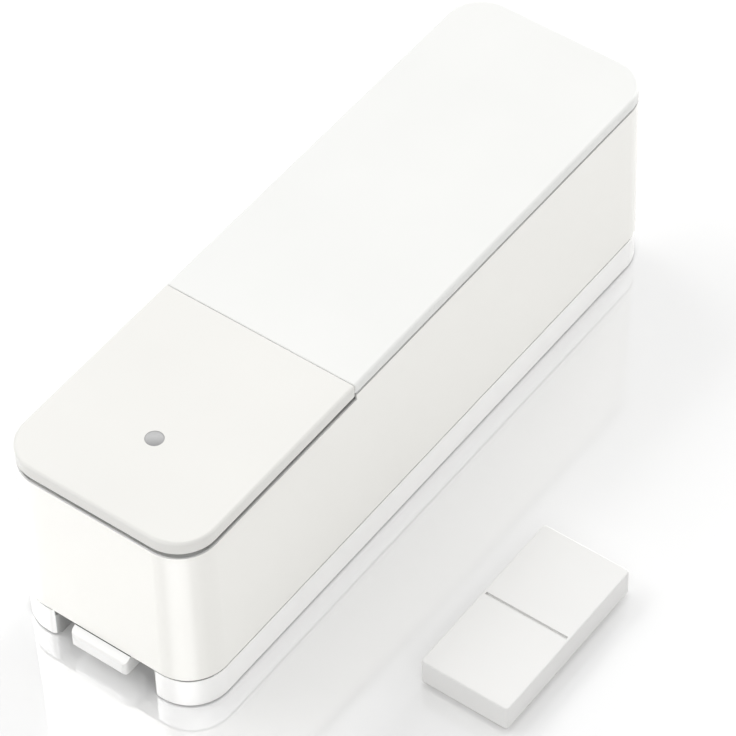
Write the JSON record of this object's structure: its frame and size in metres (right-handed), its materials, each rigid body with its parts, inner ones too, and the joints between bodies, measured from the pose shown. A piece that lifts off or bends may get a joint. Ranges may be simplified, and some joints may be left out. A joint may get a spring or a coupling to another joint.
{
  "type": "door contact sensor",
  "caption": "Long white door contact sensor with a press key, clip-on wall base and a small separate magnet block that faces its side.",
  "frame": {"origin": "centre of the wall base's underside, on the surface that the sensor is fixed to", "axes": "+X along the sensor away from its key, +Y across it away from the magnet unit, +Z out of the surface"},
  "size_m": [0.0837, 0.0511, 0.0259],
  "materials": {
    "base_white": "satin white",
    "foam": "closed-cell foam tape",
    "latch_white": "satin white",
    "spring_steel": "plain",
    "housing_white": "semi-gloss white",
    "cover_white": "fine matt white",
    "key_white": "fine matt white",
    "light_guide": "frosted clear",
    "circuit_board": "solder mask",
    "screw_steel": "zinc plated",
    "led_lens": "clear resin",
    "black_plastic": "moulded",
    "switch_plunger": "moulded",
    "module_board": "solder mask",
    "tinned_shield": "tinned",
    "chip_black": "moulded epoxy",
    "reed_glass": "clear",
    "reed_metal": "plated",
    "ceramic_parts": "ceramic",
    "carrier_plastic": "moulded",
    "battery_sleeve": "shrink sleeve",
    "battery_metal": "nickel plated",
    "contact_metal": "nickel-plated bronze",
    "magnet_white": "fine matt white",
    "magnet_base_white": "moulded",
    "magnet_metal": "nickel plated"
  },
  "bodies": {
    "base": {"base_plate": "base_white", "base_tape": "foam", "latch_spring": "spring_steel"},
    "latch": {"release_latch": "latch_white"},
    "housing": {"housing": "housing_white", "top_cover": "cover_white", "circuit_board": "circuit_board", "board_screws": "screw_steel", "status_led": "led_lens", "switch_body": "black_plastic", "radio_board": "module_board", "radio_shield": "tinned_shield", "radio_chip": "chip_black", "logic_chip": "chip_black", "antenna": "tinned_shield", "reed_glass": "reed_glass", "reed_leads": "reed_metal", "board_parts": "ceramic_parts", "battery_carrier": "carrier_plastic", "contact_negative": "contact_metal", "contact_positive": "contact_metal", "contact_bus": "contact_metal"},
    "key": {"press_key": "key_white", "light_guide": "light_guide"},
    "plunger": {"switch_plunger": "switch_plunger"},
    "battery": {"battery_cell": "battery_sleeve", "battery_terminal": "battery_metal"},
    "magnet_unit": {"magnet_case": "magnet_white", "magnet_base": "magnet_base_white", "bar_magnet": "magnet_metal", "magnet_tape": "foam"}
  },
  "joints": [
    {"name": "housing_lift", "type": "slide", "parent": "base", "child": "housing", "axis": [0, 0, 1], "range_m": [0, 0.034]},
    {"name": "latch_press", "type": "slide", "parent": "base", "child": "latch", "axis": [1, 0, 0], "range_m": [0, 0.0009], "stiffness_N_per_m": 400, "deforming": ["latch_spring"]},
    {"name": "key_press", "type": "slide", "parent": "housing", "child": "key", "axis": [0, 0, -1], "range_m": [0, 0.0005], "stiffness_N_per_m": 800, "springref_m": -0.0003},
    {"name": "plunger_press", "type": "slide", "parent": "housing", "child": "plunger", "axis": [0, 0, -1], "range_m": [0, 0.0005]},
    {"name": "battery_draw", "type": "slide", "parent": "housing", "child": "battery", "axis": [0, 0, -1], "range_m": [0, 0.0204]},
    {"name": "magnet_travel", "type": "slide", "parent": "base", "child": "magnet_unit", "axis": [0, -1, 0], "range_m": [-0.012, 0.05]}
  ],
  "couplings": [
    {"joint": "plunger_press", "follows": "key_press", "ratio": 1},
    {"joint": "battery_draw", "follows": "housing_lift", "ratio": 0.6}
  ]
}
